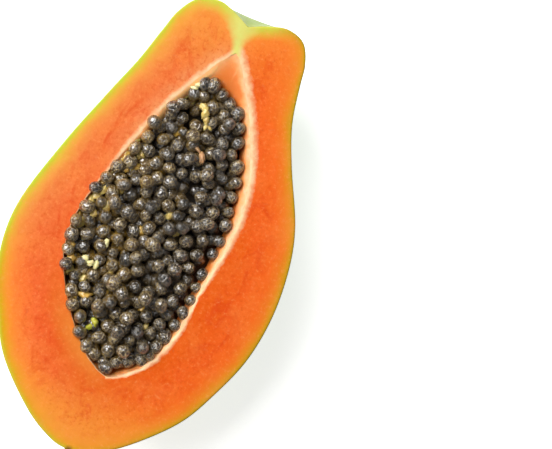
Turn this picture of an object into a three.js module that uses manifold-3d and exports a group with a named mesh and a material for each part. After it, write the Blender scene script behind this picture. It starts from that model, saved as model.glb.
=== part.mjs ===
// Half a ripe papaya, cut lengthwise from stem to blossom end. It lies on its skin with the cut face up.
// The half fruit, skin and flesh grown as one, holds a leaf-shaped cavity full of round seeds.
// Millimetres. +X runs across the cut face, +Y towards the stem end, +Z up, out of the cut face.
import * as THREE from "three";
import { mergeVertices } from "three/addons/utils/BufferGeometryUtils.js";
import Module from "manifold-3d";

// Outline of the cut face: radius and height above the blossom end, up over the shoulder into the stem dimple
const OUTLINE = [
  [0, 0], [8.6, 1.7], [22.4, 10], [39.8, 27], [49.7, 44.5], [57, 63], [59.7, 82], [58, 101],
  [52.3, 123], [42.7, 146], [35.7, 164], [31.8, 180], [29.4, 190], [24.2, 198.2], [15.5, 200.8],
  [7, 198.4], [0, 195.1],
];
const OUTLINE_STEPS = 54;
const ROUND_STEPS = 60;

// The widest stretch leans to the right of the long axis, and so does the shoulder
const LEAN = {
  belly: 2.8, bellyHeight: 120, bellySpread: 28, shoulder: 3.8, shoulderStart: 128, shoulderSpan: 70,
};
// The fruit is a little shallower than it is wide at the belly, and fuller under the neck
const DEPTH = { belly: 0.94, gain: 0.1, start: 55, span: 80 };
// Five faint ribs run from end to end
const RIB = { count: 5, height: 0.014, turn: Math.PI / 10, length: 201 };
// What the fruit rests on: the lowest part of the skin, pressed flat
const FLAT_SPOT = 1.1;
const BLOSSOM_SCAR = { radius: 1.9, sunk: 0.9 };

// Cavity: half-width = size * p^low * (1 - p)^high, where p runs from its blossom end to its stem end
const CAVITY = {
  bottom: 35, top: 183, size: 90.4, low: 0.65, high: 0.9, depth: 0.92, steps: 26, round: 32,
  offset: 3.3, swing: 6.9, swingAt: 0.33, swingSpread: 0.2,
};

// Seeds: their number and size, how high their middles lie, and how close they are packed.
// A seed is a faceted ball, made a little larger so that it looks as wide as a round one.
// The pack slopes down towards the right-hand wall, and its edge seeds lean over the rim a little.
const SEED = {
  count: 171, radius: 3.3, vary: 0.3, highest: 0.7, drop: 2.6, slope: 0.045, overRim: 0.4,
  touch: 1, push: 0.3, rounds: 120, start: 20407, facetGain: 1.02,
};
// Both ends of the pack come to a blunt point: its height, its place across, and how steep its sides are
const PACK_TOP = { height: 167.6, across: -2.5, slope: 0.48 };
const PACK_BOTTOM = { height: 39.2, across: 0.5, slope: 0.5 };
// In the neck the seeds keep clear of the right-hand wall
const WALL_CLEAR = { gap: 2.2, low: 60, high: 110 };
// Under the top seeds the pack is one lump, with the seeds sunk into it
const CORE = { below: 2.3, sunk: 0.5, wallGap: 0.6, bottom: 38, end: 168 };
// How far a seed that leans over the rim stays above the cut face
const RIM_GAP = 0.3;

const wasm = await Module();
wasm.setup();

function smoothStep(low, high, value) {
  return THREE.MathUtils.smoothstep(value, low, high);
}

// A closed geometry as a solid for joining and cutting
function solidFrom(geometry) {
  const bare = geometry.clone();
  bare.deleteAttribute("normal");
  bare.deleteAttribute("uv");
  const merged = mergeVertices(bare, 1e-4);
  const mesh = new wasm.Mesh({
    numProp: 3,
    vertProperties: new Float32Array(merged.attributes.position.array),
    triVerts: new Uint32Array(merged.index.array),
  });
  return new wasm.Manifold(mesh);
}

function geometryFrom(solid) {
  const mesh = solid.getMesh();
  const geometry = new THREE.BufferGeometry();
  geometry.setAttribute("position", new THREE.BufferAttribute(mesh.vertProperties, 3));
  geometry.setIndex(new THREE.BufferAttribute(mesh.triVerts, 1));
  geometry.computeVertexNormals();
  return geometry;
}

function boxSolid(low, high) {
  const size = new THREE.Vector3().subVectors(high, low);
  const middle = new THREE.Vector3().addVectors(low, high).multiplyScalar(0.5);
  const box = new THREE.BoxGeometry(size.x, size.y, size.z);
  box.translate(middle.x, middle.y, middle.z);
  return solidFrom(box);
}

// Moves each vertex of a geometry by a rule
function reshape(geometry, rule) {
  const position = geometry.attributes.position;
  const point = new THREE.Vector3();
  for (let i = 0; i < position.count; i++) {
    point.fromBufferAttribute(position, i);
    rule(point);
    position.setXYZ(i, point.x, point.y, point.z);
  }
  return geometry;
}

function leanAt(height) {
  const belly = LEAN.belly * Math.exp(-(((height - LEAN.bellyHeight) / LEAN.bellySpread) ** 2));
  const rise = Math.max(0, height - LEAN.shoulderStart) / LEAN.shoulderSpan;
  return belly + LEAN.shoulder * rise * rise;
}

function depthAt(height) {
  return DEPTH.belly + DEPTH.gain * smoothStep(DEPTH.start, DEPTH.start + DEPTH.span, height);
}

// The whole fruit: the outline turned round the long axis, then ribbed, leaned and flattened by rule
function wholeFruit() {
  const curve = new THREE.SplineCurve(OUTLINE.map(([radius, height]) => new THREE.Vector2(radius, height)));
  const profile = curve.getSpacedPoints(OUTLINE_STEPS);
  profile[0].x = 0;
  profile[OUTLINE_STEPS].x = 0;
  const fruit = new THREE.LatheGeometry(profile, ROUND_STEPS);
  return reshape(fruit, (point) => {
    const angle = Math.atan2(point.z, point.x);
    const fade = Math.sin((Math.PI * THREE.MathUtils.clamp(point.y, 0, RIB.length)) / RIB.length);
    const rib = 1 + RIB.height * fade * Math.cos(RIB.count * (angle - RIB.turn));
    point.x = point.x * rib + leanAt(point.y);
    point.z = point.z * rib * depthAt(point.y);
  });
}

function cavityShare(height) {
  return (height - CAVITY.bottom) / (CAVITY.top - CAVITY.bottom);
}

function cavityHalfWidth(height) {
  const share = THREE.MathUtils.clamp(cavityShare(height), 0, 1);
  return CAVITY.size * share ** CAVITY.low * (1 - share) ** CAVITY.high;
}

function cavityMiddle(height) {
  const away = (cavityShare(height) - CAVITY.swingAt) / CAVITY.swingSpread;
  return CAVITY.offset - CAVITY.swing * Math.exp(-away * away);
}

// The cavity's shape, or one that keeps a gap inside it
function cavitySolid(gap) {
  const profile = [];
  for (let step = 0; step <= CAVITY.steps; step++) {
    const share = (1 - Math.cos((Math.PI * step) / CAVITY.steps)) / 2;
    const height = CAVITY.bottom + share * (CAVITY.top - CAVITY.bottom);
    const radius = cavityHalfWidth(height) - gap;
    if (radius > 0.05) profile.push(new THREE.Vector2(radius, height));
  }
  profile.unshift(new THREE.Vector2(0, profile[0].y));
  profile.push(new THREE.Vector2(0, profile[profile.length - 1].y));
  const cavity = new THREE.LatheGeometry(profile, CAVITY.round);
  reshape(cavity, (point) => {
    point.x += cavityMiddle(point.y);
    point.z *= CAVITY.depth;
  });
  return solidFrom(cavity);
}

// The half fruit: cut along its middle, hollowed, and flat where it rests
function halfFruit() {
  const reach = 2 * RIB.length;
  const scar = new THREE.SphereGeometry(BLOSSOM_SCAR.radius, 12, 8);
  scar.translate(0, BLOSSOM_SCAR.sunk, -BLOSSOM_SCAR.radius / 4);
  const fruit = solidFrom(wholeFruit()).add(solidFrom(scar));
  const lowest = fruit.boundingBox().min[2] + FLAT_SPOT;
  const kept = boxSolid(new THREE.Vector3(-reach, -reach, lowest), new THREE.Vector3(reach, reach, 0));
  return fruit.intersect(kept).subtract(cavitySolid(0));
}

// Even random numbers from 0 to 1, the same ones each time
function randomFrom(start) {
  let state = start;
  return () => {
    state = (state * 1664525 + 1013904223) % 4294967296;
    return state / 4294967296;
  };
}

const CAVITY_WIDEST = cavityHalfWidth(
  CAVITY.bottom + ((CAVITY.top - CAVITY.bottom) * CAVITY.low) / (CAVITY.low + CAVITY.high),
);

// Height of the highest seed middles, across the cavity from its left-hand wall
function packLevel(across) {
  return SEED.highest - SEED.slope * (across + CAVITY_WIDEST);
}

// Keeps a seed between the cavity's walls and ends
function holdInCavity(seed) {
  const top = PACK_TOP.height - PACK_TOP.slope * Math.abs(seed.x - PACK_TOP.across);
  const bottom = PACK_BOTTOM.height + PACK_BOTTOM.slope * Math.abs(seed.x - PACK_BOTTOM.across);
  seed.y = THREE.MathUtils.clamp(seed.y, bottom, top);
  const half = cavityHalfWidth(seed.y);
  const share = Math.min(0.9, Math.abs(seed.z) / (half * CAVITY.depth));
  const reach = Math.max(0.2, half * Math.sqrt(1 - share * share) - seed.radius + SEED.overRim);
  const clear = WALL_CLEAR.gap * smoothStep(WALL_CLEAR.low, WALL_CLEAR.high, seed.y);
  const middle = cavityMiddle(seed.y);
  seed.x = THREE.MathUtils.clamp(seed.x, middle - reach, middle + Math.max(0, reach - clear));
}

// A layer of seeds: strewn over the cavity at random heights, then pushed apart until they lie side by side
function seedLayer() {
  const random = randomFrom(SEED.start);
  const seeds = [];
  while (seeds.length < SEED.count) {
    const y = PACK_BOTTOM.height + random() * (PACK_TOP.height - PACK_BOTTOM.height);
    const across = (2 * random() - 1) * CAVITY_WIDEST;
    const radius = SEED.radius + SEED.vary * (2 * random() - 1);
    const z = packLevel(across) - Math.max(SEED.drop * random(), CORE.below + CORE.sunk - radius);
    if (Math.abs(across) < cavityHalfWidth(y)) seeds.push({ x: cavityMiddle(y) + across, y, z, radius });
  }
  for (let round = 0; round < SEED.rounds; round++) {
    const moves = seeds.map(() => [0, 0]);
    for (let i = 0; i < seeds.length; i++) {
      for (let j = i + 1; j < seeds.length; j++) {
        const x = seeds[i].x - seeds[j].x;
        const y = seeds[i].y - seeds[j].y;
        const distance = Math.max(1e-6, Math.hypot(x, y, seeds[i].z - seeds[j].z));
        const wanted = SEED.touch * (seeds[i].radius + seeds[j].radius);
        const push = SEED.push * Math.max(0, wanted / distance - 1);
        moves[i][0] += push * x;
        moves[i][1] += push * y;
        moves[j][0] -= push * x;
        moves[j][1] -= push * y;
      }
    }
    seeds.forEach((seed, i) => {
      seed.x += moves[i][0];
      seed.y += moves[i][1];
      holdInCavity(seed);
    });
  }
  return seeds;
}

// The seed pack: a lump that fills the cavity, with the top seeds standing out of it
function seedPack() {
  const far = 100;
  const inside = cavitySolid(CORE.wallGap);
  const block = new THREE.BoxGeometry(2 * far, CORE.end - CORE.bottom, far);
  block.translate(0, (CORE.end + CORE.bottom) / 2, -far / 2);
  block.rotateY(Math.atan(SEED.slope));
  block.translate(0, 0, packLevel(0) - CORE.below);
  const lump = inside.intersect(solidFrom(block));
  const overRim = boxSolid(new THREE.Vector3(-far, 0, RIM_GAP), new THREE.Vector3(far, 2 * far, far));
  const balls = seedLayer().map((seed) => {
    const ball = new THREE.OctahedronGeometry(SEED.facetGain * seed.radius, 1);
    ball.rotateX(seed.x);
    ball.rotateZ(seed.y);
    ball.translate(seed.x, seed.y, seed.z);
    return solidFrom(ball);
  });
  return lump.add(wasm.Manifold.union(balls).intersect(inside.add(overRim)));
}

function node(name, solid, material) {
  const mesh = new THREE.Mesh(geometryFrom(solid), material);
  mesh.name = name;
  return mesh;
}

const fleshFinish = new THREE.MeshStandardMaterial({ color: 0xf46a22, roughness: 0.45, metalness: 0 });
const seedFinish = new THREE.MeshStandardMaterial({ color: 0x2b2620, roughness: 0.25, metalness: 0 });

const papaya = new THREE.Group();
papaya.add(node("half_fruit", halfFruit(), fleshFinish));
papaya.add(node("seeds", seedPack(), seedFinish));

// The origin is under the middle of the fruit, on the surface that it rests on
const bounds = new THREE.Box3().setFromObject(papaya);
const middle = bounds.getCenter(new THREE.Vector3());
papaya.position.set(-middle.x, -middle.y, -bounds.min.z);

export default papaya;
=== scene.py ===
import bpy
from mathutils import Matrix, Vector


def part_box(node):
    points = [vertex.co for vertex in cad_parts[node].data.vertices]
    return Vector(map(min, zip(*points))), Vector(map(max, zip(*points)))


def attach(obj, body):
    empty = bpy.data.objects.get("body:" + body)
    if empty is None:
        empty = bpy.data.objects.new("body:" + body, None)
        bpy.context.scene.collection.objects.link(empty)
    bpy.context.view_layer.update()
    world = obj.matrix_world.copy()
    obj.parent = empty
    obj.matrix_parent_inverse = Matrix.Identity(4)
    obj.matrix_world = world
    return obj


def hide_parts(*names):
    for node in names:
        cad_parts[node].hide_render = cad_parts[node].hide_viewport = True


bl_info = {
    "name": "Papaya Half",
    "version": (1, 0, 0),
    "blender": (4, 5, 0),
    "location": "3D View > Sidebar > Papaya",
    "description": "Half a ripe papaya with its seeds, lying cut face up on a pale floor",
    "category": "Add Mesh",
}

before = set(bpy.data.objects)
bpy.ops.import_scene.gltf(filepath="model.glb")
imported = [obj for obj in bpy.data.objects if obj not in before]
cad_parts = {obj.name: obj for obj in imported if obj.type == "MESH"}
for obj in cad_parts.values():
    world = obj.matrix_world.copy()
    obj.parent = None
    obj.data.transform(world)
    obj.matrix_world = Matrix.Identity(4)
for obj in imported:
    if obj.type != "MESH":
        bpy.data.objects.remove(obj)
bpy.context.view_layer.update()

import math

import bmesh
import bpy
import numpy as np
from bpy.props import FloatProperty, FloatVectorProperty, IntProperty, PointerProperty
from mathutils import Euler, Matrix, Vector, noise
from mathutils.geometry import interpolate_bezier
from mathutils.kdtree import KDTree

# The fruit is worked out in millimetres, in the fruit's own places: X runs across the cut face from the
# long axis, Y up from the blossom end, and Z out of the cut face. Each mesh is moved to the frame at the end.
MM = 0.001

# Outline of the cut face: radius and height above the blossom end, up over the shoulder into the stem dimple
OUTLINE = [
    (0, 0), (8.6, 1.7), (22.4, 10), (39.8, 27), (49.7, 44.5), (57, 63), (59.7, 82), (58, 101),
    (52.3, 123), (42.7, 146), (35.7, 164), (31.8, 180), (29.4, 190), (24.2, 198.2), (15.5, 200.8),
    (7, 198.4), (0, 195.1),
]
FRUIT_LENGTH = 201
NOTCH_HEIGHT = OUTLINE[-1][1]

# How the long axis leans, how deep the fruit is for its width, and its faint ribs
LEAN_BELLY = 2.8
LEAN_BELLY_HEIGHT = 120
LEAN_BELLY_SPREAD = 28
LEAN_SHOULDER = 3.8
LEAN_SHOULDER_START = 128
LEAN_SHOULDER_SPAN = 70
DEPTH_BELLY = 0.94
DEPTH_GAIN = 0.1
DEPTH_START = 55
DEPTH_SPAN = 80
RIB_COUNT = 5
RIB_HEIGHT = 0.014
RIB_TURN = math.pi / 10
SCAR_RADIUS = 1.9
SCAR_STANDS = 1.0

# Cavity: half-width = size * p^low * (1 - p)^high, where p runs from its blossom end to its stem end
CAVITY_BOTTOM = 35
CAVITY_TOP = 183
CAVITY_SIZE = 90.4
CAVITY_LOW = 0.65
CAVITY_HIGH = 0.9
CAVITY_DEPTH = 0.92
CAVITY_OFFSET = 3.3
CAVITY_SWING = 6.9
CAVITY_SWING_AT = 0.33
CAVITY_SWING_SPREAD = 0.2

# How finely the half fruit is divided
OUTLINE_TRACK_STEPS = 40
CAVITY_TRACK_STEPS = 400
ALONG_STEPS = 200
ROUND_STEPS = 96
FACE_RINGS = 60
WALL_STEPS = 48
END_CROWDING = 0.6

# The top layer of seeds, laid by the same rule and the same draws as in the frame
SEED_COUNT = 171
SEED_RADIUS = 3.3
SEED_VARY = 0.3
SEED_HIGHEST = 0.7
SEED_DROP = 2.6
SEED_SLOPE = 0.045
SEED_OVER_RIM = 0.4
SEED_PUSH = 0.3
SEED_ROUNDS = 120
SEED_START = 20407
DRAW_FACTOR = 1664525
DRAW_STEP = 1013904223
DRAW_RANGE = 2**32
CORE_BELOW = 2.3
CORE_SUNK = 0.5

# Both ends of the pack come to a blunt point: its height, its place across, and how steep its sides are
PACK_TOP = 167.6
PACK_TOP_ACROSS = -2.5
PACK_TOP_SLOPE = 0.48
PACK_BOTTOM = 39.2
PACK_BOTTOM_ACROSS = 0.5
PACK_BOTTOM_SLOPE = 0.5
# In the neck the seeds keep clear of the right-hand wall
WALL_CLEAR = 2.2
WALL_CLEAR_IN = (60, 110)
# A low seed has less room to the sides: how deep it counts as lying, at most, and its room at least
DEEPEST_SHARE = 0.9
LEAST_ROOM = 0.2

# The photograph's frame, and where the fruit lies in it
PHOTO_WIDTH_PX = 552
PHOTO_HEIGHT_PX = 449
FRUIT_MIDDLE_PX = (156.5, 230.4)
FRUIT_MIDDLE_HEIGHT = 100
MM_PER_PX = 0.429
FRUIT_TURN = math.radians(22.2)


def smooth_step(low, high, value):
    share = min(1.0, max(0.0, (value - low) / (high - low)))
    return share * share * (3 - 2 * share)


def bell(value, middle, spread):
    return math.exp(-(((value - middle) / spread) ** 2))


def from_screen(code):
    """A colour written as on a screen, such as f26a2b, as the linear red, green and blue of Blender."""
    parts = [int(code[i : i + 2], 16) / 255 for i in (0, 2, 4)]
    return tuple(p / 12.92 if p <= 0.04045 else ((p + 0.055) / 1.055) ** 2.4 for p in parts)


def random_from(start):
    """Even random numbers from 0 to 1, the same ones each time."""
    state = start
    while True:
        state = (state * DRAW_FACTOR + DRAW_STEP) % DRAW_RANGE
        yield state / DRAW_RANGE


# Shape of the half fruit


def lean_at(height):
    belly = LEAN_BELLY * bell(height, LEAN_BELLY_HEIGHT, LEAN_BELLY_SPREAD)
    rise = max(0.0, height - LEAN_SHOULDER_START) / LEAN_SHOULDER_SPAN
    return belly + LEAN_SHOULDER * rise * rise


def depth_at(height):
    return DEPTH_BELLY + DEPTH_GAIN * smooth_step(DEPTH_START, DEPTH_START + DEPTH_SPAN, height)


def crowded_shares(steps):
    """Shares from 0 to 1 that lie closer together near both ends."""
    even = np.linspace(0, 1, steps + 1)
    return even - END_CROWDING * np.sin(2 * math.pi * even) / (2 * math.pi)


def along_track(track, steps):
    """Points along a track of (radius, height) points, closer together near both ends."""
    track = np.array(track)
    lengths = np.concatenate([[0], np.cumsum(np.hypot(*np.diff(track, axis=0).T))])
    places = crowded_shares(steps) * lengths[-1]
    return [(np.interp(p, lengths, track[:, 0]), np.interp(p, lengths, track[:, 1])) for p in places]


def skin_profile():
    knots = [Vector((radius, height)) for radius, height in OUTLINE]
    padded = [knots[0], *knots, knots[-1]]
    track = []
    for before, start, end, after in zip(padded, padded[1:], padded[2:], padded[3:]):
        handles = start + (end - before) / 6, end - (after - start) / 6
        track += [tuple(p) for p in interpolate_bezier(start, *handles, end, OUTLINE_TRACK_STEPS)[:-1]]
    return along_track([*track, tuple(knots[-1])], ALONG_STEPS)


def cavity_share(height):
    return (height - CAVITY_BOTTOM) / (CAVITY_TOP - CAVITY_BOTTOM)


def cavity_half_width(height):
    share = min(1.0, max(0.0, cavity_share(height)))
    return CAVITY_SIZE * share**CAVITY_LOW * (1 - share) ** CAVITY_HIGH


def cavity_middle(height):
    return CAVITY_OFFSET - CAVITY_SWING * bell(cavity_share(height), CAVITY_SWING_AT, CAVITY_SWING_SPREAD)


def cavity_profile(gap=0.0):
    shares = (1 - np.cos(np.linspace(0, math.pi, CAVITY_TRACK_STEPS))) / 2
    heights = CAVITY_BOTTOM + shares * (CAVITY_TOP - CAVITY_BOTTOM)
    track = [(max(0.0, cavity_half_width(h) - gap), h) for h in heights]
    return along_track([p for i, p in enumerate(track) if p[0] > 0 or i in (0, len(track) - 1)], ALONG_STEPS)


def spun_shell(profile, steps):
    """A half shell: the profile turned under the long axis, from the right side round to the left."""
    mesh = bmesh.new()
    chain = [mesh.verts.new((radius, height, 0)) for radius, height in profile]
    edges = [mesh.edges.new(pair) for pair in zip(chain, chain[1:])]
    bmesh.ops.spin(mesh, geom=chain + edges, cent=(0, 0, 0), axis=(0, 1, 0), angle=math.pi, steps=steps)
    bmesh.ops.remove_doubles(mesh, verts=mesh.verts, dist=1e-4)
    bmesh.ops.dissolve_degenerate(mesh, edges=mesh.edges, dist=1e-5)
    return mesh


def shape_skin(point):
    """Ribs, leans and flattens a point of the turned outline."""
    angle = math.atan2(point.z, point.x)
    fade = math.sin(math.pi * min(1.0, max(0.0, point.y / FRUIT_LENGTH)))
    rib = 1 + RIB_HEIGHT * fade * math.cos(RIB_COUNT * (angle - RIB_TURN))
    return Vector((point.x * rib + lean_at(point.y), point.y, point.z * rib * depth_at(point.y)))


def shape_cavity(point):
    return Vector((point.x + cavity_middle(point.y), point.y, point.z * CAVITY_DEPTH))


def to_frame(mesh):
    """Moves a mesh from the fruit's own places to the frame."""
    low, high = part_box("half_fruit")
    middle = (low.x + high.x) / 2
    place = Vector((middle - FRUIT_MIDDLE_X * MM, low.y + SCAR_STANDS * MM, high.z))
    bmesh.ops.transform(mesh, matrix=Matrix.Translation(place) @ Matrix.Scale(MM, 4), verts=mesh.verts)


def sides_of_outline():
    profile = skin_profile()
    right = [shape_skin(Vector((radius, height, 0))).x for radius, height in profile]
    left = [shape_skin(Vector((-radius, height, 0))).x for radius, height in profile]
    return min(left), max(right)


FRUIT_MIDDLE_X = sum(sides_of_outline()) / 2


def finished_piece(mesh, name, materials):
    """Turns a bmesh into an object in the frame that rides with the fruit."""
    to_frame(mesh)
    data = bpy.data.meshes.new(name)
    mesh.to_mesh(data)
    mesh.free()
    for material in materials:
        data.materials.append(material)
    data.shade_smooth()
    piece = bpy.data.objects.new(name, data)
    bpy.context.scene.collection.objects.link(piece)
    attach(piece, "root")
    return piece


def search_tree(points):
    tree = KDTree(len(points))
    for index, point in enumerate(points):
        tree.insert(point, index)
    tree.balance()
    return tree


def closed_loop_tree(points, between=10):
    """A search tree of points along a closed loop, with extra ones between each pair."""
    pairs = zip(points, points[1:] + points[:1])
    return search_tree([first.lerp(second, i / between) for first, second in pairs for i in range(between)])


def rim_loop(profile, shape):
    """The loop that a profile makes on the cut face: up its right side and down its left."""
    right = [shape(Vector((radius, height, 0))) for radius, height in profile]
    left = [shape(Vector((-radius, height, 0))) for radius, height in profile]
    return right + left[-2:0:-1]


def add_cut_face(mesh, outer, inner):
    """Fills the cut between the skin's rim and the cavity's rim with rings of faces."""
    tree = search_tree(outer)
    rim = [edge for edge in mesh.edges if edge.is_boundary]
    made = bmesh.ops.extrude_edge_only(mesh, edges=rim)["geom"]
    moved = [part for part in made if isinstance(part, bmesh.types.BMVert)]
    for vert in moved:
        vert.co = inner[tree.find(vert.co)[1]]
    for face in made:
        if isinstance(face, bmesh.types.BMFace):
            face.material_index = FLESH
    new_rim = set(moved)
    cross = [edge for vert in moved for edge in vert.link_edges if not new_rim.issuperset(edge.verts)]
    bmesh.ops.subdivide_edges(mesh, edges=cross, cuts=FACE_RINGS - 1, use_grid_fill=True)


def add_cavity_wall(mesh, profile):
    wall = spun_shell(profile, WALL_STEPS)
    for vert in wall.verts:
        vert.co = shape_cavity(vert.co)
        if abs(vert.co.z) < SNAP:
            vert.co.z = 0
    for face in wall.faces:
        face.material_index = LINING
    data = bpy.data.meshes.new("wall")
    wall.to_mesh(data)
    wall.free()
    mesh.from_mesh(data)
    bpy.data.meshes.remove(data)
    bmesh.ops.remove_doubles(mesh, verts=mesh.verts, dist=SNAP)


# The three finishes of the half fruit, in their order on the mesh
SKIN, FLESH, LINING = 0, 1, 2
# Points this near to the cut or to each other are taken as lying on it or as one
SNAP = 0.004
# The left turns into the right within this distance of the cavity's middle
SIDE_SPAN = 14
# The depth under the skin that is noted for the lining, past every change of the flesh's colour
LINING_DEPTH = 30.0

# In each pair whose name ends in IN, a thing starts at the first value and is full at the second

# The pale edge round the cavity: its width at each height, on the right side and on the left
PALE_EDGE_RIGHT = [
    (36, 0.9), (50, 1.5), (66, 1.5), (78, 0.8), (92, 1.6), (125, 2.2), (150, 2.5), (183, 2.6),
]
PALE_EDGE_LEFT = [(36, 0.3), (60, 0.1), (100, 0.4), (125, 1.3), (145, 1.8), (165, 1.6), (183, 1.6)]
# The pale trace from the stem dimple to the cavity: its half-width at the cavity and at the dimple, how far
# its middle line leans back to the long axis, and how its edges and its lower end come in
TRACE_LOW = 1.8
TRACE_HIGH = 5.6
TRACE_START = CAVITY_TOP - 4
TRACE_LEAN = 0.7
TRACE_EDGE_IN = (1.9, 0.1)
TRACE_END_IN = (CAVITY_TOP - 5, CAVITY_TOP)
# How far the cut edges are rounded: at the skin and at the cavity
SKIN_EDGE = 0.7
SKIN_EDGE_DROP = 0.25
RIM_EDGE = 1.3
RIM_EDGE_DROP = 0.55
RIM_EDGE_LEFT = 0.2
RIM_EDGE_IN = (180, 150)
# The cut face waves a little, away from its edges
FACE_WAVE = 0.09
FACE_WAVE_GRAIN = 0.22
FACE_WAVE_IN = (0, 3)
# The rim is a little ragged, most of all at the lower right, and less so further down and further off
RAGGED = 0.55
RAGGED_LEAST = 0.6
RAGGED_GRAIN = 0.35
RAGGED_FINER = 2.7
RAGGED_RIGHT_IN = (-5, 12)
RAGGED_LOW_IN = (150, 90)
RAGGED_DOWN = 5
RAGGED_OFF = 2.5
# Where the noise of the rim starts, so that it comes out the same each time
RAGGED_START = 5
# The right-hand wall slopes inwards, most of all in the neck and at its own depth
WALL_SLOPE = 2.4
WALL_SLOPE_LEAST = 0.3
WALL_SLOPE_DEPTH = 5.5
WALL_SLOPE_IN = (85, 125)
# The left-hand wall has a shelf in the neck, which turns into an even slope at the stem end
LEFT_SHELF = 3.2
LEFT_SHELF_SHARE = 0.35
LEFT_SHELF_DEPTH = 1.0
LEFT_SHELF_IN = (112, 140)
EVEN_SLOPE_IN = (158, 174)
# How much shallower the hollow is at its stem end
APEX_RAISED = 0.88
APEX_RAISED_IN = (152, 174)
# How far from its middle the dried blossom scar is brown
SCAR_BROWN_IN = (2.3, 0.92)
# The flesh is yellower near the blossom end and under the shoulder, there least on the right
WARM_LOW_IN = (38, 6)
WARM_HIGH_IN = (156, FRUIT_LENGTH)
WARM_RIGHT = 0.5
# Round the stem dimple the flesh and the skin are yellow-green
STEM_END_IN = (26, 12)
# On the left the neck's flesh pales towards the cavity, and the green of the skin reaches far in
HALO_IN = (105, 150)
HALO_RIM_IN = (10, 0)
GREEN_SIDE_IN = (52, 95)
# An amber patch at the lower left of the cavity: its height and spread, and its sides
AMBER_HEIGHT = 44
AMBER_SPREAD = 17
AMBER_SIDE_IN = (8, -4)
AMBER_RIM_IN = (11, 1)
# What each point of the half fruit notes for the finishes
NOTES = (
    "skin_depth", "pale_edge", "trace", "rightness", "green_side", "amber", "below", "scar", "warm",
    "stem_end", "halo",
)


def width_from(table, height):
    return float(np.interp(height, [row[0] for row in table], [row[1] for row in table]))


def ragged_shift(point):
    """Moves the rim and the wall's top by a small uneven amount."""
    right = smooth_step(*RAGGED_RIGHT_IN, point.x - cavity_middle(point.y))
    share = RAGGED_LEAST + (1 - RAGGED_LEAST) * right * smooth_step(*RAGGED_LOW_IN, point.y)
    finer = noise.noise_vector(point * RAGGED_GRAIN * RAGGED_FINER)
    wave = noise.noise_vector(point * RAGGED_GRAIN) + 0.5 * finer
    return Vector((wave.x, wave.y, 0)) * RAGGED * share


def wall_slope(spot, right):
    """Slopes the walls inwards, above all in the neck, and raises the stem end of the hollow."""
    depth = -spot.z / WALL_SLOPE_DEPTH
    share = WALL_SLOPE_LEAST + (1 - WALL_SLOPE_LEAST) * smooth_step(*WALL_SLOPE_IN, spot.y)
    slope = WALL_SLOPE * right * share * depth * math.exp(1 - depth)
    depth = -spot.z / LEFT_SHELF_DEPTH
    even = smooth_step(*EVEN_SLOPE_IN, spot.y)
    inwards = (1 - even) * depth * math.exp(1 - depth) + even * (1 - math.exp(-depth))
    widest = min(LEFT_SHELF, LEFT_SHELF_SHARE * cavity_half_width(spot.y))
    shelf = widest * (1 - right) * smooth_step(*LEFT_SHELF_IN, spot.y) * inwards
    raised = -spot.z * APEX_RAISED * smooth_step(*APEX_RAISED_IN, spot.y)
    return Vector((shelf - slope, 0, raised))


def half_fruit_mesh():
    mesh = spun_shell(skin_profile(), ROUND_STEPS)
    for vert in mesh.verts:
        vert.co = shape_skin(vert.co)
        if abs(vert.co.z) < SNAP:
            vert.co.z = 0
    outer = rim_loop(skin_profile(), shape_skin)
    inner = rim_loop(cavity_profile(), shape_cavity)
    add_cut_face(mesh, outer, inner)
    add_cavity_wall(mesh, cavity_profile())
    bmesh.ops.recalc_face_normals(mesh, faces=mesh.faces)
    finish_surface(mesh, closed_loop_tree(outer), closed_loop_tree(inner))
    for vert in mesh.verts:
        if vert.co.length < SCAR_RADIUS:
            vert.co.y -= SCAR_STANDS * math.sqrt(1 - (vert.co.length / SCAR_RADIUS) ** 2)
    return mesh


def surface_notes(spot, kinds, to_skin, to_cavity):
    """What the finishes need to know about a point of the surface, in the order of NOTES."""
    across = spot.x - cavity_middle(spot.y)
    right = smooth_step(-SIDE_SPAN, SIDE_SPAN, across)
    skin_depth = to_skin if FLESH in kinds else (LINING_DEPTH if LINING in kinds else 0.0)
    table = PALE_EDGE_RIGHT if across > 0 else PALE_EDGE_LEFT
    reach = spot.z if LINING in kinds and FLESH not in kinds else to_cavity
    rise = smooth_step(TRACE_START, NOTCH_HEIGHT, spot.y)
    half = TRACE_LOW + (TRACE_HIGH - TRACE_LOW) * rise**3
    off = abs(spot.x - CAVITY_OFFSET * (1 - TRACE_LEAN * rise)) / half
    trace = smooth_step(*TRACE_EDGE_IN, off) * smooth_step(*TRACE_END_IN, spot.y)
    green_side = (1 - right) * smooth_step(*GREEN_SIDE_IN, spot.y)
    low_left = bell(spot.y, AMBER_HEIGHT, AMBER_SPREAD) * smooth_step(*AMBER_SIDE_IN, spot.x)
    amber = low_left * smooth_step(*AMBER_RIM_IN, to_cavity)
    scar = smooth_step(*SCAR_BROWN_IN, spot.length)
    warm_top = smooth_step(*WARM_HIGH_IN, spot.y) * (1 - WARM_RIGHT * right)
    warm = max(warm_top, smooth_step(*WARM_LOW_IN, spot.y))
    stem_end = smooth_step(*STEM_END_IN, (spot - Vector((0, NOTCH_HEIGHT, 0))).length)
    halo = (1 - right) * smooth_step(*HALO_IN, spot.y) * smooth_step(*HALO_RIM_IN, to_cavity)
    pale_edge = reach / width_from(table, spot.y)
    return skin_depth, pale_edge, trace, right, green_side, amber, -spot.z, scar, warm, stem_end, halo


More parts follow.
